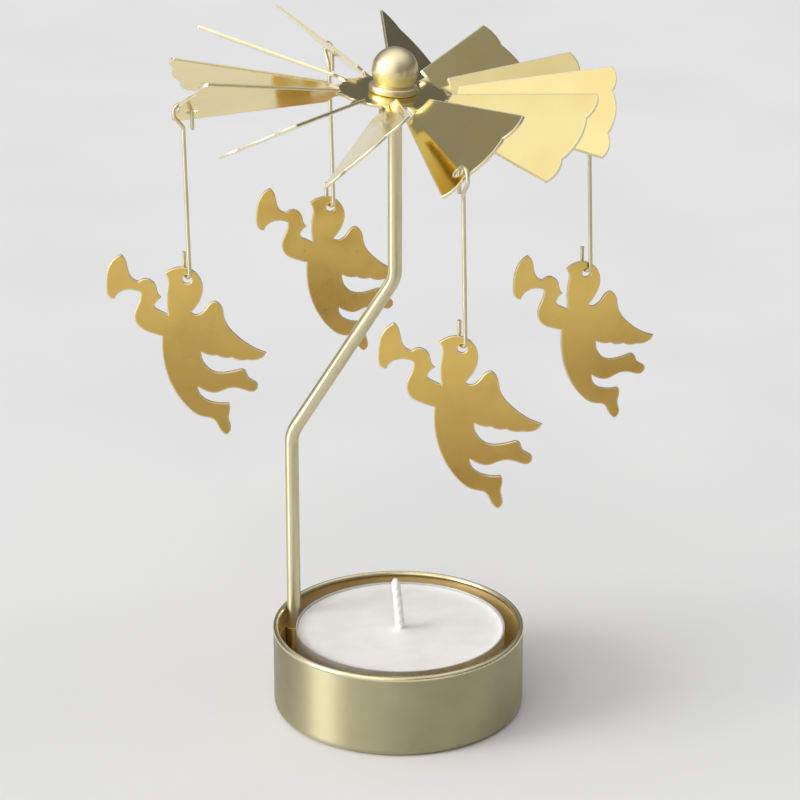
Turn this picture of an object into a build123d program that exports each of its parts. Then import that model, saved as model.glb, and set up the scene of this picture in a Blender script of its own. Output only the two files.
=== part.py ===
# A tea-light carousel: a warm-air fan wheel on a bent rod, with four hanging angels
import os
from math import atan2, cos, degrees, radians, sin, tan

from build123d import *

os.makedirs("parts", exist_ok=True)

# Driving dimensions, in millimetres and degrees
# Cup: a shallow drawn pan that the whole object stands on, wide enough for a tea light beside the rod
cup_height = 15.7
cup_wall = 0.6
cup_bottom_radius = 1.4
rim_bead = 1.1
rim_proud = 0.1

# Rod: one polished wire that stands in the cup and carries the wheel on its point
rod_diameter = 2.5
rod_wall_gap = 0.05
rod_lower_bend = 50.0
rod_upper_bend = 82.0
rod_bend_radius = 6.0
rod_height = 119.5
rod_point_length = 3.0
rod_point_flat = 0.4
wheel_offset = 0.6

# Clip: a strap round the rod, spot-welded to the inside of the cup
clip_sheet = 0.3
clip_height = 4.0
clip_drop = 4.0
clip_ear_angle = 13.0
clip_fit = 0.03
clip_wall_gap = 0.05

# Hub: a ball on a flanged stem, a blind cone bored in it, and a ring pressed on below the wheel
ball_diameter = 8.0
ball_rise = 4.1
flange_diameter = 8.4
flange_thickness = 1.3
flange_edge_radius = 0.4
stem_wall = 0.7
collar_wall = 1.2
collar_height = 1.6
seat_angle = 32.0
seat_gap = 0.05
bore_gap = 0.25

# Wheel: one stamped sheet, whose blades were bent by hand, so each has its own pitch and droop
wheel_radius = 37.9
wheel_sheet = 0.5
disc_diameter = 18.4
neck_width = 2.6
neck_length = 1.8
first_blade_angle = 43.5
blade_pitches = (36.0, 35.0, 42.0, 38.0, 22.0, 31.0, 35.0, 31.0, 47.0, 45.0, 42.0, 41.0)
blade_droops = (3.0, 2.0, 3.0, 0.0, -3.0, 2.0, 1.0, 4.0, 0.0, 0.0, -2.0, -2.0)
blade_gap_angle = 1.6
lobe_rise = 1.0
middle_lobe = 8.8
wheel_lean = 5.0
wheel_lean_towards = 26.0

# Hangers: wire hooks bent by hand, one on every third blade
hanger_wire = 0.7
hanger_drops = (28.8, 29.5, 29.4, 29.2)
hook_hole = 2.0
hook_strip = 1.2
hook_gap = 0.35
hook_tail = 3.4
hook_bend_radius = 1.3
hook_shoulder = 0.9
hook_neck = 2.8
loop_half_width = 1.0
loop_turn = 30.0
loop_tail = 4.2
loop_bend_radius = 0.85

# Angels: flat stamped figures, drawn about the hole in the head
angel_sheet = 0.5
angel_hole = 1.6
angel_hang_gap = 0.1
angel_facings = (39.0, 32.0, 20.0, 20.0)

# Corners of the angel's outline, and the points between them, across and up from the hole
bell_top = (-11.1, 4.8)
trumpet_upper = [(-10.4, 3.9), (-10.0, 2.0)]
trumpet_hand = (-8.3, -0.2)
hand = [(-6.8, 0.25), (-5.5, -0.8), (-5.2, -2.2)]
finger_tip = (-4.6, -3.2)
arm_upper = [(-5.5, -3.9), (-5.9, -4.7), (-5.0, -5.6)]
arm_pit = (-3.6, -6.4)
face = [(-3.75, -4.6), (-3.6, -2.2), (-3.3, -0.1)]
lock_tip = (-3.8, 1.2)
head = [(-2.6, 1.9), (-1.0, 2.2), (1.3, 1.3), (2.6, -1.6), (1.8, -4.2)]
nape = (0.3, -6.0)
wing_root = [(1.2, -6.5), (2.6, -5.8), (3.7, -4.5)]
wing_top = (4.6, -4.15)
wing_upper = [(5.5, -5.0), (6.1, -7.7), (8.0, -10.6), (10.4, -12.6)]
wing_tip = (12.9, -13.8)
feathers = [(12.3, -14.6), (9.6, -15.0), (6.9, -14.5), (4.4, -14.0), (1.7, -13.3)]
feather_sag = 0.3
upper_leg = [(2.2, -15.6), (3.7, -17.0), (6.0, -17.2)]
upper_heel = (8.4, -16.7)
upper_sole = [(9.2, -17.2), (9.6, -18.3), (11.0, -19.4)]
upper_toe = (11.1, -20.3)
upper_shin = [(10.3, -20.9), (8.1, -20.3), (5.6, -20.3), (3.9, -20.9), (2.0, -20.5)]
knee = (0.8, -19.7)
lower_leg = [(1.4, -21.6), (3.7, -22.8)]
lower_heel = (5.9, -22.9)
lower_sole = [(6.1, -24.2), (5.8, -25.6), (6.1, -27.6)]
lower_toe = (5.2, -28.8)
robe = [(4.1, -27.6), (3.2, -25.9), (1.3, -25.3), (-1.1, -23.6), (-3.4, -20.1), (-4.8, -15.5)]
elbow = (-4.9, -10.2)
sleeve = [(-6.6, -9.6), (-9.1, -7.8), (-9.4, -6.3), (-8.6, -4.2)]
trumpet_grip = (-8.1, -2.1)
trumpet_lower = [(-9.5, -1.6), (-11.3, -1.8)]
bell_bottom = (-12.6, -3.2)
bell_mouth = [(-13.4, -2.9), (-13.9, -0.2), (-12.9, 3.3)]

# Tea light: a foil pan of wax that stands on the floor of the cup
tealight_diameter = 38.0
tealight_height = 14.5
tealight_foil = 0.25
tealight_shift = 0.4
tealight_gap = 0.27
tealight_foot_radius = 1.0
wax_drop = 0.45
wick_diameter = 1.7
wick_rise = 9.5
wick_lean = 6.0
tab_diameter = 12.0
tab_sheet = 0.3
tab_sleeve_wall = 0.3
tab_sleeve_height = 4.0

# Sizes that follow from the driving dimensions
tealight_radius = tealight_diameter / 2
rod_radius = rod_diameter / 2
clip_inside = tealight_radius - tealight_shift + tealight_gap
rod_foot = clip_inside + clip_sheet + clip_fit + rod_radius
rim_inside = rod_foot + rod_radius + rod_wall_gap
cup_radius = rim_inside + rim_bead - rim_proud
cup_bore = cup_radius - cup_wall
ear_radius = cup_bore - clip_wall_gap
point_flat_radius = rod_point_flat / 2
stem_bore = rod_radius + (ball_rise + collar_height + wheel_sheet) * tan(radians(wheel_lean)) + bore_gap
stem_radius = stem_bore + stem_wall
disc_radius = disc_diameter / 2
half_sheet = wheel_sheet / 2
spin_x = -wheel_offset
blade_count = len(blade_pitches)
hanger_count = len(hanger_drops)
wire_radius = hanger_wire / 2


def save(part, name):
    part.label = name
    export_step(part, f"parts/{name}.step")
    print(f"{name}: {part.volume:.1f} cubic mm")


# Cup
with BuildPart() as cup:
    with BuildSketch():
        Circle(cup_radius)
    extrude(amount=cup_height - rim_bead / 2)
    fillet(cup.faces().sort_by(Axis.Z)[0].edges(), cup_bottom_radius)
    offset(amount=-cup_wall, openings=cup.faces().sort_by(Axis.Z)[-1])
    with BuildSketch(Plane.XZ):
        with Locations((rim_inside + rim_bead / 2, cup_height - rim_bead / 2)):
            Circle(rim_bead / 2)
    revolve(axis=Axis.Z)
save(cup.part, "cup")

# Rod: foot on the cup's floor, a jog to the middle, and a ground point
rod_shoulder = rod_height - rod_point_length
with BuildPart() as rod:
    with BuildLine() as rod_route:
        FilletPolyline(
            (-rod_foot, 0, cup_wall),
            (-rod_foot, 0, rod_lower_bend),
            (spin_x, 0, rod_upper_bend),
            (spin_x, 0, rod_shoulder),
            radius=rod_bend_radius,
        )
    with BuildSketch(Plane.XY.offset(cup_wall)):
        with Locations((-rod_foot, 0)):
            Circle(rod_radius)
    sweep(path=rod_route.line)
    chamfer(rod.faces().sort_by(Axis.Z)[0].edges(), cup_bottom_radius - cup_wall)
    with BuildSketch(Plane((spin_x, 0, rod_shoulder))):
        Circle(rod_radius)
    with BuildSketch(Plane((spin_x, 0, rod_height))):
        Circle(point_flat_radius)
    loft()
save(rod.part, "rod")

# Clip: two ears on the cup's wall and a bow round the rod
clip_base = cup_height - clip_drop - clip_height
with BuildPart() as rod_clip:
    with BuildSketch(Plane.XY.offset(clip_base)):
        Circle(ear_radius)
        Circle(ear_radius - clip_sheet, mode=Mode.SUBTRACT)
        with BuildLine():
            far = 2 * cup_radius
            spread = far * tan(radians(clip_ear_angle))
            Polyline((0, 0), (-far, spread), (-far, -spread), close=True)
        make_face(mode=Mode.INTERSECT)
        with Locations((-rod_foot, 0)):
            Circle(rod_radius + clip_fit + clip_sheet)
            Circle(rod_radius + clip_fit, mode=Mode.SUBTRACT)
        Circle(ear_radius, mode=Mode.INTERSECT)
    extrude(amount=clip_height)
save(rod_clip.part, "rod_clip")

# The wheel leans on its point, so its pieces share one leaning frame at the point of the rod
lean_axis = radians(wheel_lean_towards)
lean_side = sin(radians(wheel_lean))
wheel_top = Plane(
    origin=(spin_x, 0, rod_height),
    x_dir=(sin(lean_axis), -cos(lean_axis), 0),
    z_dir=(lean_side * cos(lean_axis), lean_side * sin(lean_axis), cos(radians(wheel_lean))),
)
wheel_frame = wheel_top.location * Location((0, 0, -ball_rise), (0, 0, 90 - wheel_lean_towards))


def wheel_plane(height=0, turn=0):
    """A plane across the wheel's axis, turned about it."""
    return Plane(wheel_frame * Location((0, 0, height), (0, 0, turn)))


# Hub ball: flange on the sheet, stem through it, and a cone that sits on the rod's point
seat_slope = tan(radians(seat_angle))
seat_apex = ball_rise + point_flat_radius / seat_slope + seat_gap
stem_end = -half_sheet - collar_height
spoke_plane = Plane(wheel_frame * Location((0, 0, 0), (90, 0, 0)))
with BuildPart() as hub_ball:
    with BuildSketch(wheel_plane(half_sheet)):
        Circle(flange_diameter / 2)
    extrude(amount=flange_thickness)
    fillet(hub_ball.edges().filter_by(GeomType.CIRCLE), flange_edge_radius)
    with BuildSketch(wheel_plane(stem_end)):
        Circle(stem_radius)
    extrude(amount=half_sheet + flange_thickness - stem_end)
    with Locations(wheel_plane(ball_rise).location):
        Sphere(ball_diameter / 2)
    with BuildSketch(spoke_plane):
        with BuildLine():
            Polyline(
                (0, stem_end),
                (stem_bore, stem_end),
                (stem_bore, seat_apex - stem_bore / seat_slope),
                (0, seat_apex),
                close=True,
            )
        make_face()
    revolve(axis=Axis(wheel_plane().origin, wheel_plane().z_dir), mode=Mode.SUBTRACT)
save(hub_ball.part, "hub_ball")

# Hub collar: the ring that holds the wheel up against the flange
with BuildPart() as hub_collar:
    with BuildSketch(wheel_plane(-half_sheet)):
        Circle(stem_radius + collar_wall)
        Circle(stem_radius, mode=Mode.SUBTRACT)
    extrude(amount=-collar_height)
save(hub_collar.part, "hub_collar")

# Fan wheel: a twelve-sided middle, a twisted neck on each side, and a lobed blade on each neck
blade_step = 360 / blade_count
half_blade = blade_step / 2 - blade_gap_angle / 2
blade_root = disc_radius + neck_length
half_chord = wheel_radius * sin(radians(half_blade))
corner_reach = wheel_radius * cos(radians(half_blade))
root_half_width = blade_root * tan(radians(half_blade))
notch_reach = corner_reach + lobe_rise / 2
notch_side = middle_lobe / 2
side_lobe_middle = (half_chord + notch_side) / 2
hook_hole_reach = notch_reach - hook_strip - hook_hole / 2
hung_blades = range(0, blade_count, blade_count // hanger_count)


def spoke_frame(number):
    """The wheel's frame, turned so that X runs along a blade."""
    return wheel_frame * Location((0, 0, 0), (0, 0, first_blade_angle + number * blade_step))


def bent_frame(number):
    """A blade's spoke, bent down at the edge of the disc."""
    bend = Location((disc_radius, 0, 0), (0, blade_droops[number], 0))
    return spoke_frame(number) * bend * Location((-disc_radius, 0, 0))


def blade_plane(number):
    """The plane of a blade, pitched about its bent spoke."""
    return Plane(bent_frame(number) * Location((0, 0, 0), (blade_pitches[number], 0, 0)))


with BuildPart() as fan_wheel:
    with BuildSketch(wheel_plane(-half_sheet, first_blade_angle)):
        RegularPolygon(disc_radius, blade_count, major_radius=False, rotation=blade_step / 2)
        Circle(stem_radius, mode=Mode.SUBTRACT)
    extrude(amount=wheel_sheet)
    for number in range(blade_count):
        with BuildSketch(Plane(spoke_frame(number) * Location((disc_radius, 0, 0), (0, 90, 0)))):
            Rectangle(wheel_sheet, neck_width)
        with BuildSketch(Plane(bent_frame(number) * Location((blade_root, 0, 0), (0, 90, 0)))):
            Rectangle(wheel_sheet, neck_width, rotation=blade_pitches[number])
        loft(ruled=True)
        with BuildSketch(blade_plane(number)):
            with BuildLine():
                Polyline(
                    (corner_reach, -half_chord),
                    (blade_root, -root_half_width),
                    (blade_root, root_half_width),
                    (corner_reach, half_chord),
                )
                for side in (1, -1):
                    ThreePointArc(
                        (corner_reach, side * half_chord),
                        (notch_reach + lobe_rise / 2, side * side_lobe_middle),
                        (notch_reach, side * notch_side),
                    )
                ThreePointArc(
                    (notch_reach, notch_side),
                    (notch_reach + lobe_rise, 0),
                    (notch_reach, -notch_side),
                )
            make_face()
            if number in hung_blades:
                with Locations((hook_hole_reach, -notch_side)):
                    Circle(hook_hole / 2, mode=Mode.SUBTRACT)
        extrude(amount=half_sheet, both=True)
save(fan_wheel.part, "fan_wheel")

# The angel's outline: named corners, joined by smooth curves through the points between them
with BuildSketch() as angel_outline:
    with BuildLine():
        Spline(bell_top, *trumpet_upper, trumpet_hand)
        Spline(trumpet_hand, *hand, finger_tip)
        Spline(finger_tip, *arm_upper, arm_pit)
        Spline(arm_pit, *face, lock_tip)
        Spline(lock_tip, *head, nape)
        Spline(nape, *wing_root, wing_top)
        Spline(wing_top, *wing_upper, wing_tip)
        Line(wing_tip, feathers[0])
        for start, end in zip(feathers, feathers[1:]):
            middle = ((start[0] + end[0]) / 2, (start[1] + end[1]) / 2 - feather_sag)
            ThreePointArc(start, middle, end)
        Spline(feathers[-1], *upper_leg, upper_heel)
        Spline(upper_heel, *upper_sole, upper_toe)
        Spline(upper_toe, *upper_shin, knee)
        Spline(knee, *lower_leg, lower_heel)
        Spline(lower_heel, *lower_sole, lower_toe)
        Spline(lower_toe, *robe, elbow)
        Spline(elbow, *sleeve, trumpet_grip)
        Spline(trumpet_grip, *trumpet_lower, bell_bottom)
        Spline(bell_bottom, *bell_mouth, bell_top)
    make_face()
    Circle(angel_hole / 2, mode=Mode.SUBTRACT)

# Each figure hangs with its centre of area straight under the wire that carries it
hole_under_wire = angel_hole / 2 - wire_radius - angel_hang_gap
balance = angel_outline.sketch.face().center(CenterOf.MASS)
balance_turn = Location((0, 0, 0), (0, 0, -degrees(atan2(balance.X, hole_under_wire - balance.Y))))

# Hangers and angels
hook_half_width = (hook_hole + hook_strip) / 2
for number in range(hanger_count):
    blade = blade_plane(hung_blades[number])
    blade_pitch = blade_pitches[hung_blades[number]]
    rise_over_wire = half_sheet / cos(radians(blade_pitch)) + wire_radius * tan(radians(blade_pitch))
    hook_top = rise_over_wire + hook_gap + wire_radius
    pivot = blade.from_local_coords(Vector(notch_reach - hook_strip / 2, -notch_side, 0))
    outward = Vector(blade.x_dir.X, blade.x_dir.Y, 0).normalized()
    facing = radians(angel_facings[number])
    across = Vector(cos(facing), sin(facing), 0)
    front = Vector(sin(facing), -cos(facing), 0)
    up = Vector(0, 0, 1)
    loop_bottom = pivot - up * hanger_drops[number]
    loop_side = front.rotate(Axis.Z, loop_turn) * loop_half_width
    with BuildPart() as hanger:
        with BuildLine() as hanger_route:
            FilletPolyline(
                pivot - outward * hook_half_width - up * hook_tail,
                pivot - outward * hook_half_width + up * hook_top,
                pivot + outward * hook_half_width + up * hook_top,
                pivot + outward * hook_half_width - up * hook_shoulder,
                pivot - up * hook_neck,
                loop_bottom + loop_side,
                loop_bottom - loop_side,
                loop_bottom - loop_side + up * loop_tail,
                radius=[
                    hook_bend_radius,
                    hook_bend_radius,
                    hook_bend_radius,
                    hook_bend_radius,
                    loop_bend_radius,
                    loop_bend_radius,
                ],
            )
        with BuildSketch(Plane(hanger_route.line @ 0, z_dir=hanger_route.line % 0)):
            Circle(wire_radius)
        sweep(path=hanger_route.line)
    save(hanger.part, f"hanger_wire_{number + 1}")

    loop_plane = Plane(origin=loop_bottom, x_dir=across, z_dir=front)
    hung = Plane(loop_plane.location * balance_turn * Location((0, -hole_under_wire, 0)))
    with BuildPart() as angel:
        with BuildSketch(hung):
            add(angel_outline.sketch)
        extrude(amount=angel_sheet / 2, both=True)
    save(angel.part, f"angel_{number + 1}")
    print("  hook at", pivot, "outward", outward, "loop", loop_bottom, "front", front)

# Tea light: foil pan, wax, wick and the tab that holds the wick
tealight_floor = cup_wall + tealight_foil
wax_level = cup_wall + tealight_height - wax_drop
with BuildPart() as tealight_cup:
    with BuildSketch(Plane.XY.offset(cup_wall)):
        with Locations((tealight_shift, 0)):
            Circle(tealight_radius)
    extrude(amount=tealight_height)
    fillet(tealight_cup.faces().sort_by(Axis.Z)[0].edges(), tealight_foot_radius)
    offset(amount=-tealight_foil, openings=tealight_cup.faces().sort_by(Axis.Z)[-1])
save(tealight_cup.part, "tealight_cup")

wick_foot = Plane(origin=(tealight_shift, 0, tealight_floor))
sleeve_radius = wick_diameter / 2 + tab_sleeve_wall
with BuildPart() as wick_tab:
    with BuildSketch(wick_foot):
        Circle(tab_diameter / 2)
    extrude(amount=tab_sheet)
    with BuildSketch(wick_foot.offset(tab_sheet)):
        Circle(sleeve_radius)
        Circle(wick_diameter / 2, mode=Mode.SUBTRACT)
    extrude(amount=tab_sleeve_height)
save(wick_tab.part, "wick_tab")

# The wick stands up straight in its sleeve and leans a little once it is out of the wax
wick_reach = wick_rise * tan(radians(wick_lean))
with BuildPart() as wick:
    with BuildLine() as wick_route:
        FilletPolyline(
            (tealight_shift, 0, tealight_floor + tab_sheet),
            (tealight_shift, 0, wax_level),
            (tealight_shift - wick_reach, 0, wax_level + wick_rise),
            radius=wick_rise / 2,
        )
    with BuildSketch(wick_foot.offset(tab_sheet)):
        Circle(wick_diameter / 2)
    sweep(path=wick_route.line)
save(wick.part, "wick")

with BuildPart() as tealight_wax:
    with BuildSketch(wick_foot):
        Circle(tealight_radius - tealight_foil)
    extrude(amount=wax_level - tealight_floor)
    fillet(tealight_wax.faces().sort_by(Axis.Z)[0].edges(), tealight_foot_radius - tealight_foil)
    add(wick_tab.part, mode=Mode.SUBTRACT)
    add(wick.part, mode=Mode.SUBTRACT)
save(tealight_wax.part, "tealight_wax")
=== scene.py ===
# %% [markdown]
# A tea-light carousel. A candle warms the air, the air turns a stamped fan wheel on the point of a rod, and
# four flat angels swing round below it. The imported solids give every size, so this file only dresses them:
# it gives each sheet, wire and wax surface its finish, and models the wax and the wick as meshes.

# %% Load the frame
from math import cos, pi, radians, sin

import bmesh
import bpy
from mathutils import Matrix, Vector


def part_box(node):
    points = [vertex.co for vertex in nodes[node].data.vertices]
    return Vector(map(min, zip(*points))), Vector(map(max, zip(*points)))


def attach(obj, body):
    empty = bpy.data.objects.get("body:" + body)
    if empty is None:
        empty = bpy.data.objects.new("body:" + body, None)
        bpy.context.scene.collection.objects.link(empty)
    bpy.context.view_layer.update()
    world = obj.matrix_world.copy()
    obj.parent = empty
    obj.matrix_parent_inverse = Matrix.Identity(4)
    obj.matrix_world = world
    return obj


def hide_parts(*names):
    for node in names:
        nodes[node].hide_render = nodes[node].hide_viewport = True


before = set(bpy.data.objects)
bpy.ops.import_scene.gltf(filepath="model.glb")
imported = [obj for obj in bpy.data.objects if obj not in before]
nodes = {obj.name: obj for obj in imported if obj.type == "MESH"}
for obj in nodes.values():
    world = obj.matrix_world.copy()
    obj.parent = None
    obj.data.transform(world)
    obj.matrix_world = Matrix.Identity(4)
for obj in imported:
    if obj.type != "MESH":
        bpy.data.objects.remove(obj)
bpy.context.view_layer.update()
MM = 0.001
UP = Vector((0, 0, 1))

# %% [markdown]
# The camera stands where the picture was taken from: a little above the wheel, far back, with a long lens.
# A long lens keeps the near and far angels almost the same size, which is how the picture looks. The camera
# could be aimed with a constraint, but a plain place and two angles are easier to read and to change.

# %% Camera
AZIMUTH = 20.0
PITCH = 21.55
CAMERA_BACK = 528.8 * MM
CAMERA_SIDE = 0.3 * MM
CAMERA_HEIGHT = 268.0 * MM
LENS_MM = 144.5
NEAREST = 20.0 * MM

turn = radians(AZIMUTH)
right_hand = Vector((cos(turn), sin(turn), 0))
away = Vector((-sin(turn), cos(turn), 0))


def from_camera(right, back, up):
    """A place or a direction, given as the camera sees it."""
    return right * right_hand + back * away + up * UP


lens = bpy.data.cameras.new("camera")
lens.lens = LENS_MM
lens.clip_start = NEAREST
camera = bpy.data.objects.new("camera", lens)
camera.location = from_camera(CAMERA_SIDE, -CAMERA_BACK, CAMERA_HEIGHT)
camera.rotation_euler = (radians(90 - PITCH), 0, turn)
bpy.context.scene.collection.objects.link(camera)
bpy.context.scene.camera = camera
print("camera at", [round(c, 3) for c in camera.location])

# %% [markdown]
# Shader maths is easier to read as sums than as boxes and wires. `Value` wraps one output socket, so that
# `1 - mask` or `grain * 0.2` adds the Math node by itself. The same sums could be wired by hand in the
# shader editor, but then nobody could read them here.

# %% Values that vary over a surface
class Value:
    """What one socket puts out, with the sums that can be done on it where it is a number."""

    def __init__(self, finish, socket):
        self.finish = finish
        self.socket = socket

    def math(self, operation, first, second):
        return self.finish.node("ShaderNodeMath", {"operation": operation}, {0: first, 1: second})

    def __add__(self, other):
        return self.math("ADD", self, other)

    def __sub__(self, other):
        return self.math("SUBTRACT", self, other)

    def __rsub__(self, other):
        return self.math("SUBTRACT", other, self)

    def __mul__(self, other):
        return self.math("MULTIPLY", self, other)

    def __pow__(self, other):
        return self.math("POWER", self, other)

    __radd__ = __add__
    __rmul__ = __mul__

    def clamp(self):
        return self.finish.node("ShaderNodeClamp", {}, {"Value": self})


print("a value knows +, -, * and **")

# %% [markdown]
# `Finish` holds the nodes of one material, or of the world. Its `node` method adds any node: it sets the
# node's settings first and then its sockets. Noise, smooth steps and colour mixes come up again and again, so
# each has a short method, and every finish below is made with these.

# %% Finishes
MIX_FACTOR, MIX_FIRST, MIX_SECOND = 0, 6, 7
MIX_COLOUR = 2
NOISE_ROUGHNESS = 0.55


class Finish:
    """The nodes of one material, or of the world."""

    def __init__(self, owner):
        self.owner = owner
        owner.use_nodes = True
        self.tree = owner.node_tree
        self.tree.nodes.clear()

    def node(self, kind, settings, sockets, out=0):
        """Add one node, and give the socket that it puts out."""
        made = self.tree.nodes.new(kind)
        for key, setting in settings.items():
            setattr(made, key, setting)
        for key, given in sockets.items():
            if isinstance(given, Value):
                self.tree.links.new(given.socket, made.inputs[key])
            else:
                made.inputs[key].default_value = given
        return Value(self, made.outputs[out]) if made.outputs else None

    def place(self, scale=(1, 1, 1)):
        """Where a point is on its piece, in millimetres, stretched by scale."""
        where = self.node("ShaderNodeTexCoord", {}, {}, out="Object")
        per_mm = [s / MM for s in scale]
        return self.node("ShaderNodeVectorMath", {"operation": "MULTIPLY"}, {0: where, 1: per_mm})

    def height(self):
        """How high a point is on its piece, in millimetres."""
        return self.node("ShaderNodeSeparateXYZ", {}, {0: self.place()}, out="Z")

    def dot(self, first, second):
        """How far two directions agree."""
        settings = {"operation": "DOT_PRODUCT"}
        return self.node("ShaderNodeVectorMath", settings, {0: first, 1: second}, out="Value")

    def noise(self, size, detail=3.0, scale=(1, 1, 1)):
        """Soft random cloud, with blots about size millimetres across."""
        sockets = {"Vector": self.place(scale), "Scale": 1 / size, "Detail": detail,
                   "Roughness": NOISE_ROUGHNESS}
        return self.node("ShaderNodeTexNoise", {}, sockets)

    def lines(self, width, stretch):
        """Fine straight lines: noise that is thin across the line and long along it."""
        return self.noise(width, detail=2.0, scale=stretch)

    def ramp(self, value, low, high):
        """0 below low, 1 above high, smooth between."""
        sockets = {"Value": value, "From Min": low, "From Max": high}
        return self.node("ShaderNodeMapRange", {"interpolation_type": "SMOOTHSTEP"}, sockets)

    def mix(self, factor, first, second):
        """Change from the first colour to the second as the factor goes from 0 to 1."""
        sockets = {MIX_FACTOR: factor, MIX_FIRST: first, MIX_SECOND: second}
        return self.node("ShaderNodeMix", {"data_type": "RGBA"}, sockets, out=MIX_COLOUR)

    def bump(self, height, depth, strength, under=None):
        """A normal that leans as if the surface rose by depth millimetres, over the normal under it."""
        sockets = {"Strength": strength, "Distance": depth * MM, "Height": height}
        if under:
            sockets["Normal"] = under
        return self.node("ShaderNodeBump", {}, sockets)

    def surface(self, sockets):
        """Close a material with one shader."""
        shader = self.node("ShaderNodeBsdfPrincipled", {}, sockets)
        self.node("ShaderNodeOutputMaterial", {}, {"Surface": shader})
        return self.owner


def new_finish(name):
    return Finish(bpy.data.materials.new(name))


def colour(red, green, blue):
    """A screen colour, 0 to 255, as the light that Blender works in, by the sRGB curve."""
    def light(level):
        level = level / 255
        return level / 12.92 if level <= 0.04045 else ((level + 0.055) / 1.055) ** 2.4
    return (light(red), light(green), light(blue), 1.0)


print("finish helpers ready")

# %% [markdown]
# Brass is stamped, drawn and polished here, so one function makes all its states: a slow tint from handling,
# small freckles, fine drawing or rolling lines along one axis, and pale edges where the stamp rounded the
# sheet; the pale edge colour is partly wear and partly a painted glint. It can also paint shade that darkens
# a piece towards its foot. The rounded edge could be modelled as a bevel on every piece, but a Bevel node
# gives the same light with no extra faces, and how far its normal leans also says where the edge is.

# %% Brass
EDGE_LEAN = (0.004, 0.1)
BEVEL_SAMPLES = 6
PAINTED_SHADE_FADE = (0.2, 0.9)
HANDLED_SIZE = 14.0
HANDLED = (0.35, 0.7)
FRECKLE_SIZE = 1.6
FRECKLES = (0.62, 0.78)
FRECKLE_TINT = 0.12
SPOT_DULL = 0.05
LINE_DULL = 0.7
LINE_STRENGTH = 0.25
WAVE_STRENGTH = 1.0
EDGE_WEAR_AND_GLINT_SHARE = 0.8
EDGE_DULL = 0.25
EDGE_LESS_METAL = 0.5
QUARTER_TURN = 0.25


def edge_mask(finish, radius):
    """A rounded normal, and a mask that is 1 on edges and 0 on flat sheet; the edges are partly worn and
    partly carry a painted glint.
    """
    soft = finish.node("ShaderNodeBevel", {"samples": BEVEL_SAMPLES}, {"Radius": radius * MM})
    true = finish.node("ShaderNodeNewGeometry", {}, {}, out="Normal")
    return soft, finish.ramp(1 - finish.dot(soft, true), *EDGE_LEAN)


def brass(name, tint, shade, edge_wear_and_glint_tint, rough, edge, lines, line_depth, stretch, wave, wave_depth,
          brushed=0.0, painted_shade_fall=0.0):
    """Brass sheet or wire. Widths and depths are in millimetres, and the last setting is how far painted
    shade darkens it downwards.
    """
    finish = new_finish(name)
    share = finish.node("ShaderNodeTexCoord", {}, {}, out="Generated")
    share_up = finish.node("ShaderNodeSeparateXYZ", {}, {0: share}, out="Z")
    # Painted shade: the piece darkens towards its foot.
    painted_shade_below = 1 - finish.ramp(share_up, *PAINTED_SHADE_FADE)
    handled = finish.ramp(finish.noise(HANDLED_SIZE), *HANDLED)
    freckle = finish.ramp(finish.noise(FRECKLE_SIZE, detail=5.0), *FRECKLES)
    drawn = finish.lines(lines, stretch)
    soft, edge_wear_and_glint = edge_mask(finish, edge)
    # The darkening mixes the painted shade towards the foot with random tarnish and freckles.
    shade_and_tarnish = painted_shade_below * painted_shade_fall + handled * (0.5 - 0.5 * painted_shade_fall) + freckle * FRECKLE_TINT
    # The pale edge colour is partly wear and partly a painted glint, as if every edge caught the light.
    skin = finish.mix(edge_wear_and_glint * EDGE_WEAR_AND_GLINT_SHARE, finish.mix(shade_and_tarnish, tint, shade), edge_wear_and_glint_tint)
    spots = handled * SPOT_DULL + freckle * SPOT_DULL
    gloss = (rough + (drawn - 0.5) * rough * LINE_DULL + spots + edge_wear_and_glint * EDGE_DULL).clamp()
    rolled = finish.bump(finish.noise(wave, detail=1.0), wave_depth, WAVE_STRENGTH, under=soft)
    dent = finish.bump(drawn, line_depth, LINE_STRENGTH, under=rolled)
    return finish.surface({"Base Color": skin, "Metallic": 1 - edge_wear_and_glint * EDGE_LESS_METAL, "Roughness": gloss,
                           "Normal": dent, "Anisotropic": brushed, "Anisotropic Rotation": QUARTER_TURN})


print("brass is made by one function")

# %% [markdown]
# The collar is polished. The ball is polished too but rougher, and its paler tint is painted light for the
# bright window that it mirrors. The rod and hooks are drawn wire, whose lines spread a highlight along it.
# The wheel is mirror sheet, which shows the sky, and the figures are satin sheet of a deeper gold with slow
# waves in it, with painted shade that darkens them towards their feet. Each could have its own nodes, but
# settings side by side show better how the finishes differ.

# %% Brass finishes
DRAWN = {"edge": 0.12, "lines": 0.25, "line_depth": 0.004, "stretch": (1, 1, 0.05),
         "wave": 8.0, "wave_depth": 0.01}
MIRROR = {"edge": 0.45, "lines": 0.4, "line_depth": 0.003, "stretch": (0.2, 0.2, 1),
          "wave": 9.0, "wave_depth": 0.03}
SATIN = {"edge": 0.5, "lines": 0.12, "line_depth": 0.002, "stretch": (1, 1, 0.08),
         "wave": 14.0, "wave_depth": 1.0}
BRUSHED = 0.9

polished_brass = brass("polished_brass", colour(226, 218, 184), colour(204, 194, 150), colour(246, 241, 216),
                       rough=0.16, **DRAWN)
# The ball's paler tint is painted light for the bright window that it mirrors; its higher roughness is its
# own.
ball_brass_with_painted_light = brass("ball_brass_with_painted_light", colour(240, 230, 192), colour(232, 217, 166), colour(250, 244, 218),
                   rough=0.34, **DRAWN)
wire_brass = brass("wire_brass", colour(224, 216, 182), colour(206, 196, 154), colour(246, 241, 216),
                   rough=0.34, brushed=BRUSHED, **DRAWN)
mirror_brass = brass("mirror_brass", colour(243, 226, 162), colour(234, 211, 138), colour(252, 251, 246),
                     rough=0.09, **MIRROR)
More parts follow.
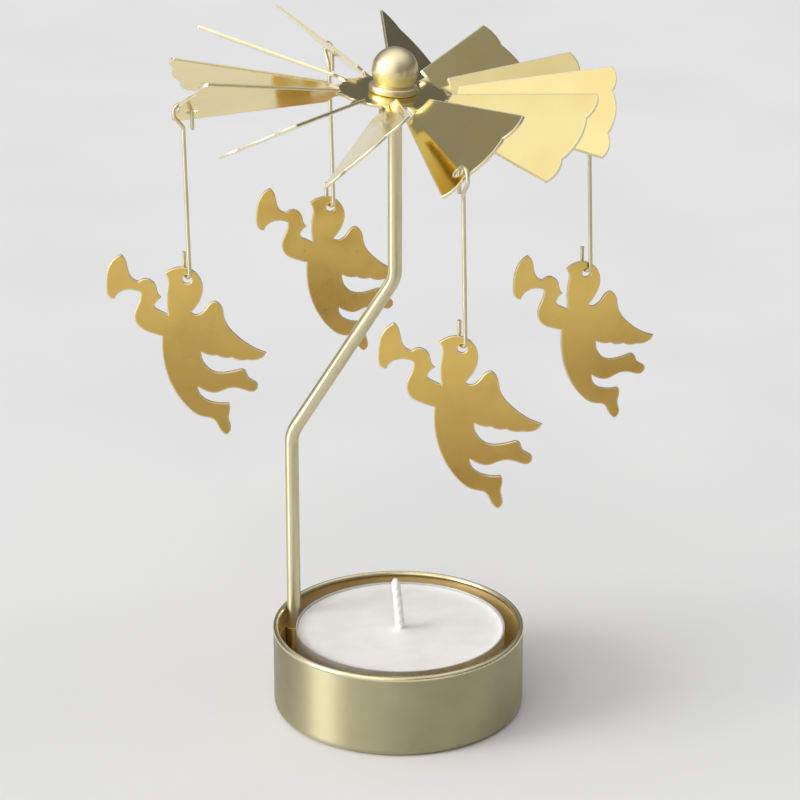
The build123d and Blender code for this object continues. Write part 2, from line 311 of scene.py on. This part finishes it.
# The figures get painted shade that darkens them towards their feet.
figure_brass = brass("figure_brass", colour(230, 196, 110), colour(158, 122, 60), colour(252, 242, 208),
                     rough=0.22, painted_shade_fall=0.6, **SATIN)
print("brass finishes: polished, ball, wire, mirror and figure")

# %% [markdown]
# The cup is drawn from one sheet, and its two sides look different: the outside was rubbed to a satin sheen
# with lines that run round it, and the inside has a warmer, paler colour, which is painted reflection of the
# gold walls glowing in each other. Two materials would need the mesh to be split, so one finish asks which
# way a point faces. What faces out or down is satin, the rest gets the painted warm glow, and the rolled rim
# gets a pale painted highlight. The clip that holds the rod wears the same finish.

# %% Cup finish
cup_low, cup_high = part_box("cup")
cup_radius = (cup_high.x - cup_low.x) / 2 / MM
RIM_PALE = 0.8
RIM_BLUR = 0.1
rim_foot = cup_high.z / MM - RIM_PALE
TURN_OVER = 1.0
CUP_HANDLED_SIZE = 9.0
CUP_HANDLED = 0.6
CUP_ROUGH = 0.4
RIM_GLOSS = 0.2
RUBBED_WIDTH = 0.14
RUBBED_ROUND = (0.03, 0.03, 1)
RUBBED_DULL = 0.14
RUBBED_DEPTH = 0.006
RUBBED_STRENGTH = 0.3
CUP_SPOT_DULL = 0.04
PLATE_METAL = 0.35


def cup_finish():
    finish = new_finish("cup_brass")
    facing = finish.node("ShaderNodeNewGeometry", {}, {}, out="Normal")
    out_and_down = finish.node("ShaderNodeVectorMath", {"operation": "MULTIPLY_ADD"},
                               {0: finish.place(), 1: (1, 1, 0), 2: (0, 0, -cup_radius)})
    outside = finish.ramp(finish.dot(facing, out_and_down), -TURN_OVER, TURN_OVER)
    handled = finish.ramp(finish.noise(CUP_HANDLED_SIZE), *HANDLED)
    rubbed = finish.lines(RUBBED_WIDTH, RUBBED_ROUND)
    rim = finish.ramp(finish.height(), rim_foot - RIM_BLUR, rim_foot + RIM_BLUR)
    satin = finish.mix(handled * CUP_HANDLED, colour(185, 178, 143), colour(177, 169, 133))
    # Painted reflection: the inside gets a warmer, paler colour for the glow of the gold walls mirroring each
    # other.
    painted_inside_glow = finish.mix(handled * CUP_HANDLED, colour(238, 208, 142), colour(230, 194, 120))
    # Painted highlight: the rolled rim gets a pale colour, as if it caught the light.
    skin = finish.mix(rim, finish.mix(outside, painted_inside_glow, satin), colour(232, 222, 184))
    gloss = (CUP_ROUGH - rim * RIM_GLOSS + (rubbed - 0.5) * RUBBED_DULL + handled * CUP_SPOT_DULL).clamp()
    metal = (PLATE_METAL + outside * (1 - PLATE_METAL) + rim * (1 - PLATE_METAL)).clamp()
    dent = finish.bump(rubbed * outside, RUBBED_DEPTH, RUBBED_STRENGTH, under=facing)
    return finish.surface({"Base Color": skin, "Metallic": metal, "Roughness": gloss, "Normal": dent,
                           "Anisotropic": BRUSHED, "Anisotropic Rotation": QUARTER_TURN})


cup_brass = cup_finish()
print("cup radius", round(cup_radius, 2), "mm")

# %% [markdown]
# The tea light's pan is rolled aluminium foil, pale and dull with soft dents. Its wick stands in a small
# tinned tab. Both could be plain grey metal, but the rolling lines and dents are what make foil look thin.

# %% Foil and tab finishes
FOIL_DENT_SIZE = 2.2
FOIL_DENTS = (0.3, 0.7)
FOIL_DENT_DEPTH = 0.03
FOIL_DENT_STRENGTH = 0.2
FOIL_LINES = 0.1
ROLLED_UP = (1, 1, 0.05)
FOIL_LINE_SHARE = 0.02
FOIL_METAL = 0.8
FOIL_ROUGH = 0.34
FOIL_LINE_DULL = 0.12
TAB_LINES = 0.15
ROLLED_ACROSS = (1, 0.05, 1)
TAB_ROUGH = 0.3
TAB_LINE_DULL = 0.15


def foil_finish():
    finish = new_finish("rolled_foil")
    dents = finish.noise(FOIL_DENT_SIZE, detail=2.0)
    rolled = finish.lines(FOIL_LINES, ROLLED_UP)
    skin = finish.mix(finish.ramp(dents, *FOIL_DENTS), colour(218, 217, 214), colour(228, 227, 224))
    gloss = (FOIL_ROUGH + rolled * FOIL_LINE_DULL).clamp()
    dent = finish.bump(dents + rolled * FOIL_LINE_SHARE, FOIL_DENT_DEPTH, FOIL_DENT_STRENGTH)
    return finish.surface({"Base Color": skin, "Metallic": FOIL_METAL, "Roughness": gloss, "Normal": dent})


def tab_finish():
    finish = new_finish("tinned_steel")
    rolled = finish.lines(TAB_LINES, ROLLED_ACROSS)
    skin = finish.mix(rolled, colour(150, 150, 150), colour(186, 186, 184))
    gloss = (TAB_ROUGH + rolled * TAB_LINE_DULL).clamp()
    return finish.surface({"Base Color": skin, "Metallic": 1.0, "Roughness": gloss})


rolled_foil = foil_finish()
tinned_steel = tab_finish()
print("foil and tab finishes ready")

# %% [markdown]
# Wax lets a little light in, so it gets some subsurface scattering, a faint mottle and a smooth waxy gloss.
# The wick is cotton dipped in wax: pale threads with the grain of a twist, and a smoother tip. A flat white
# would do from far away, but close by the wax would look like plastic.

# %% Wax and wick finishes
CLOUD_SIZE = 6.0
CLOUDS = (0.3, 0.75)
SPECK_SIZE = 0.7
SPECKS = (0.66, 0.8)
SPECK_TINT = 0.25
RIPPLE_SIZE = 0.9
RIPPLE_SHARE = 0.25
RIPPLE_DEPTH = 0.12
RIPPLE_STRENGTH = 0.3
WAX_ROUGH = 0.34
CLOUD_DULL = 0.2
WAX_SHINE = 0.4
WAX_GLOW = 0.12
WAX_DEPTH = (2.0 * MM, 2.0 * MM, 1.9 * MM)
THREAD_SIZE = 0.25
THREAD_STRETCH = (1, 1, 0.4)
THREAD_DEPTH = 0.08
THREAD_STRENGTH = 0.6
DIPPED_LENGTH = 3.0
DIPPED_TINT = 0.5
COTTON_ROUGH = 0.75
DIPPED_GLOSS = 0.3


def wax_finish():
    finish = new_finish("white_wax")
    cloud = finish.noise(CLOUD_SIZE, detail=4.0)
    speck = finish.ramp(finish.noise(SPECK_SIZE, detail=2.0), *SPECKS)
    mottle = finish.mix(finish.ramp(cloud, *CLOUDS), colour(243, 242, 239), colour(235, 233, 229))
    skin = finish.mix(speck * SPECK_TINT, mottle, colour(222, 219, 212))
    gloss = (WAX_ROUGH + cloud * CLOUD_DULL).clamp()
    ripple = finish.noise(RIPPLE_SIZE) * RIPPLE_SHARE
    dent = finish.bump(cloud + ripple, RIPPLE_DEPTH, RIPPLE_STRENGTH)
    return finish.surface({"Base Color": skin, "Roughness": gloss, "Normal": dent,
                           "Subsurface Weight": WAX_GLOW, "Subsurface Radius": WAX_DEPTH,
                           "Subsurface Scale": 1.0, "Specular IOR Level": WAX_SHINE})


def wick_finish():
    finish = new_finish("wick_cotton")
    thread = finish.noise(THREAD_SIZE, detail=4.0, scale=THREAD_STRETCH)
    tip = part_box("wick")[1].z / MM
    dipped = finish.ramp(finish.height(), tip - DIPPED_LENGTH, tip)
    cotton = finish.mix(thread, colour(236, 233, 224), colour(252, 251, 247))
    skin = finish.mix(dipped * DIPPED_TINT, cotton, colour(252, 251, 248))
    dent = finish.bump(thread, THREAD_DEPTH, THREAD_STRENGTH)
    return finish.surface({"Base Color": skin, "Roughness": (COTTON_ROUGH - dipped * DIPPED_GLOSS).clamp(),
                           "Normal": dent})


white_wax = wax_finish()
wick_cotton = wick_finish()
print("wax and wick finishes ready")

# %% [markdown]
# The CAD pieces whose shapes are right only need their finish. Assigning to the material slot leaves the
# mesh alone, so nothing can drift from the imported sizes. Joining the pieces that share a finish would leave
# fewer objects, but then they couldn't move apart.

# %% Dress the solids
FIGURES = 4
finishes = {"cup": cup_brass, "rod": wire_brass, "rod_clip": cup_brass, "fan_wheel": mirror_brass,
            "hub_ball": ball_brass_with_painted_light, "hub_collar": polished_brass, "tealight_cup": rolled_foil,
            "wick_tab": tinned_steel}
for number in range(1, FIGURES + 1):
    finishes[f"hanger_wire_{number}"] = wire_brass
    finishes[f"angel_{number}"] = figure_brass
for name, finish in finishes.items():
    nodes[name].data.materials.clear()
    nodes[name].data.materials.append(finish)
print("dressed", sorted(finishes))

# %% [markdown]
# The wax is cast, so its top isn't a plain disc: it climbs the foil in a thin meniscus, dips a little where
# it shrank as it cooled, and rises again round the wick. A turned profile gives all of that, and a few slow
# waves round the disc keep it from looking lathe-made.

# %% Shape of the wax
wax_low, wax_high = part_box("tealight_wax")
wax_middle = (wax_low + wax_high) / 2
wax_radius = (wax_high.x - wax_low.x) / 2
wax_level = wax_high.z
MENISCUS = 0.3 * MM
CLIMB_FROM = 0.9
SHRINK = 0.25 * MM
SHRINK_FULL = 0.3
WICK_HILL = 0.45 * MM
HILL_REACH = 0.16
WAVE = 0.05 * MM
WAVE_COUNT = 3
WAVE_START = 0.6


def wax_top(share, angle):
    """Height of the wax at a share of its radius."""
    climb = MENISCUS * max(0.0, (share - CLIMB_FROM) / (1 - CLIMB_FROM)) ** 2
    dip = SHRINK * (1 - share ** 2) * min(1.0, share / SHRINK_FULL)
    hill = WICK_HILL * max(0.0, 1 - share / HILL_REACH) ** 2
    wave = WAVE * sin(WAVE_COUNT * angle + WAVE_START) * share * (1 - share)
    return wax_level - SHRINK / 2 + climb - dip + hill + wave


print("wax level", round(wax_level / MM, 2), "mm, radius", round(wax_radius / MM, 2), "mm")

# %% [markdown]
# Both the wax and the wick are tubes: rings of points, joined side by side and closed at both ends. A Spin or
# a Screw modifier could turn a profile, but neither can wave or twist on the way round, so one helper takes
# finished rings and makes the closed mesh.

# %% Tubes from rings
def closed_tube(name, rings, smooth):
    """A closed mesh from rings of points. The rule called smooth says which faces are shaded round."""
    mesh = bmesh.new()
    loops = [[mesh.verts.new(spot) for spot in ring] for ring in rings]
    for first, second in zip(loops, loops[1:]):
        for side, corner in enumerate(first):
            after = (side + 1) % len(first)
            mesh.faces.new((corner, second[side], second[after], first[after]))
    mesh.faces.new(loops[0][::-1])
    mesh.faces.new(loops[-1])
    bmesh.ops.recalc_face_normals(mesh, faces=mesh.faces)
    data = bpy.data.meshes.new(name)
    mesh.to_mesh(data)
    mesh.free()
    for face in data.polygons:
        face.use_smooth = smooth(face)
    made = bpy.data.objects.new(name, data)
    bpy.context.scene.collection.objects.link(made)
    return made


def around(sides):
    """Angles of a ring's points."""
    return [2 * pi * side / sides for side in range(sides)]


print("tube helper ready")

# %% [markdown]
# The rings of the wax run from the wick outwards over the top, down the side and back under it. They lie
# closer together where the top bends most, at the wick and at the meniscus. The mesh stands in for the plain
# CAD disc and rides with the tea light.

# %% Wax
ROUND = 128
TOP_SHARES = [0.03, 0.05, 0.08, 0.12, 0.16, 0.22, 0.3, 0.4, 0.5, 0.6, 0.7, 0.8,
              0.88, 0.92, 0.95, 0.97, 0.985, 0.997]
FOOT = 0.8 * MM
FOOT_SHARE = 0.985
FOOT_GAP = 0.05 * MM


def wax_ring(radius, height):
    return [(wax_middle.x + radius * cos(angle), wax_middle.y + radius * sin(angle), height(angle))
            for angle in around(ROUND)]


def level_ring(radius, height):
    return wax_ring(radius, lambda angle: height)


def top_ring(share):
    return wax_ring(wax_radius * share, lambda angle: wax_top(share, angle))


wax_rings = [top_ring(share) for share in TOP_SHARES]
wax_rings.append(level_ring(wax_radius * TOP_SHARES[-1], wax_low.z + FOOT))
wax_rings.append(level_ring(wax_radius * FOOT_SHARE - FOOT / 2, wax_low.z + FOOT_GAP))
wax_rings.append(level_ring(wax_radius * TOP_SHARES[0], wax_low.z + FOOT_GAP))
wax = closed_tube("wax", wax_rings, lambda face: True)
wax.data.materials.append(white_wax)
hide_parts("tealight_wax")
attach(wax, "tealight")
print("wax faces", len(wax.data.polygons))

# %% [markdown]
# The wick is three cotton strands twisted together. One tube with a three-lobed section that turns as it
# rises gives the twist in the geometry, and it ends in a soft dipped tip. Three separate helices would also
# work, but their shared insides would be hidden faces that nobody sees.

# %% Wick
wick_low, wick_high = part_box("wick")
wick_radius = (wick_high.y - wick_low.y) / 2
WICK_SIDES = 24
WICK_RINGS = 72
STRANDS = 3
TWIST_PITCH = 5.0 * MM
LOBE_DEPTH = 0.13
BEND_BELOW_WAX = 1.0 * MM
BEND_POWER = 1.3
TIP_FROM = 0.94
TIP_TAPER = 0.55
wick_foot = Vector((wax_middle.x, 0, wick_low.z))
wick_tip = Vector((wick_low.x + wick_radius, 0, wick_high.z))
bend_height = wax_level - BEND_BELOW_WAX


def wick_spot(share):
    """A point on the wick's line, straight in the wax and leaning above it."""
    height = wick_foot.z + share * (wick_tip.z - wick_foot.z)
    out = max(0.0, (height - bend_height) / (wick_tip.z - bend_height))
    return Vector((wick_foot.x + (wick_tip.x - wick_foot.x) * out ** BEND_POWER, 0, height))


def wick_ring(share):
    """The three-lobed section of the wick at a share of its height."""
    middle = wick_spot(share)
    tip = max(0.0, (share - TIP_FROM) / (1 - TIP_FROM))
    twist = 2 * pi * middle.z / TWIST_PITCH
    ring = []
    for angle in around(WICK_SIDES):
        lobe = 1 - LOBE_DEPTH * (0.5 + 0.5 * cos(STRANDS * (angle - twist)))
        reach = wick_radius * lobe * (1 - tip ** 2 * TIP_TAPER)
        ring.append(middle + Vector((cos(angle) * reach, sin(angle) * reach, 0)))
    return ring


wick_rings = [wick_ring(number / WICK_RINGS) for number in range(WICK_RINGS + 1)]
wick_twist = closed_tube("wick_twist", wick_rings, lambda face: len(face.vertices) == 4)
wick_twist.data.materials.append(wick_cotton)
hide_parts("wick")
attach(wick_twist, "tealight")
print("wick faces", len(wick_twist.data.polygons))

# %% [markdown]
# The carousel stands on a plain pale floor. A curved backdrop would also work, but a wide flat floor fades
# out evenly by itself. It is rough, so that it mirrors almost nothing, and it has a very faint cloud.

# %% Floor
FLOOR_SIZE = 6.0
FLOOR_CLOUD_SIZE = 90.0
FLOOR_CLOUDS = (0.3, 0.7)
FLOOR_ROUGH = 0.8
FLOOR_SHINE = 0.2


def floor_finish():
    finish = new_finish("pale_floor")
    cloud = finish.ramp(finish.noise(FLOOR_CLOUD_SIZE, detail=2.0), *FLOOR_CLOUDS)
    skin = finish.mix(cloud, colour(222, 222, 223), colour(226, 226, 226))
    return finish.surface({"Base Color": skin, "Roughness": FLOOR_ROUGH, "Specular IOR Level": FLOOR_SHINE})


bpy.ops.mesh.primitive_plane_add(size=FLOOR_SIZE, location=(0, 0, 0))
floor = bpy.context.object
floor.name = "floor"
floor.data.materials.append(floor_finish())
print("floor", FLOOR_SIZE, "m across")

# %% [markdown]
# Metal shows what stands round it, so the sky's change from edge to top is what gives the blades and the cup
# their shading: blades that look up are pale, and those that look across are brown. A single bright sky would
# make them all flat. A soft glow at the front left stands for a window, and gives the ball and the wires
# something bright to mirror.

# %% Sky
SKY_TOP = 1.4
SKY_EDGE = 0.13
SKY_CURVE = 2.5
SKY_FULL = 0.87
GLOW = 1.3
GLOW_SPREAD = (0.35, 0.95)
GLOW_TOWARDS = (-0.8, -0.6, 0.3)

world = bpy.data.worlds.new("studio")
bpy.context.scene.world = world
sky = Finish(world)
direction = sky.node("ShaderNodeTexCoord", {}, {}, out="Generated")
rise = sky.node("ShaderNodeSeparateXYZ", {}, {0: direction}, out="Z")
from_above = sky.node("ShaderNodeMapRange", {}, {"Value": rise ** SKY_CURVE, "From Max": SKY_FULL,
                                                 "To Min": SKY_EDGE, "To Max": SKY_TOP})
window = from_camera(*GLOW_TOWARDS).normalized()
from_window = sky.ramp(sky.dot(direction, window), *GLOW_SPREAD) * GLOW
sky_light = sky.node("ShaderNodeBackground", {}, {"Strength": from_above + from_window})
sky.node("ShaderNodeOutputWorld", {}, {"Surface": sky_light})
print("sky from", SKY_EDGE, "at the edge to", SKY_TOP, "at the top")

# %% [markdown]
# The light itself comes from the same side, as one wide sun. An area lamp near the object would burn a white
# patch into the pale floor, while a sun lights the floor evenly, and a wide one keeps the shadow soft.

# %% Window light
WINDOW_ANGLE = 30.0
WINDOW_LIGHT = 1.85
WINDOW_TOWARDS = (-0.75, -0.26, 0.3)

soft_sun = bpy.data.lights.new("left_window", "SUN")
soft_sun.angle = radians(WINDOW_ANGLE)
soft_sun.energy = WINDOW_LIGHT
left_window = bpy.data.objects.new("left_window", soft_sun)
left_window.location = from_camera(*WINDOW_TOWARDS)
left_window.rotation_euler = left_window.location.to_track_quat("Z", "Y").to_euler()
bpy.context.scene.collection.objects.link(left_window)
print("window light", WINDOW_LIGHT)

# %% [markdown]
# The picture's colours are left as they are lit, with the Standard view.

# %% Colour view
bpy.context.scene.view_settings.view_transform = "Standard"
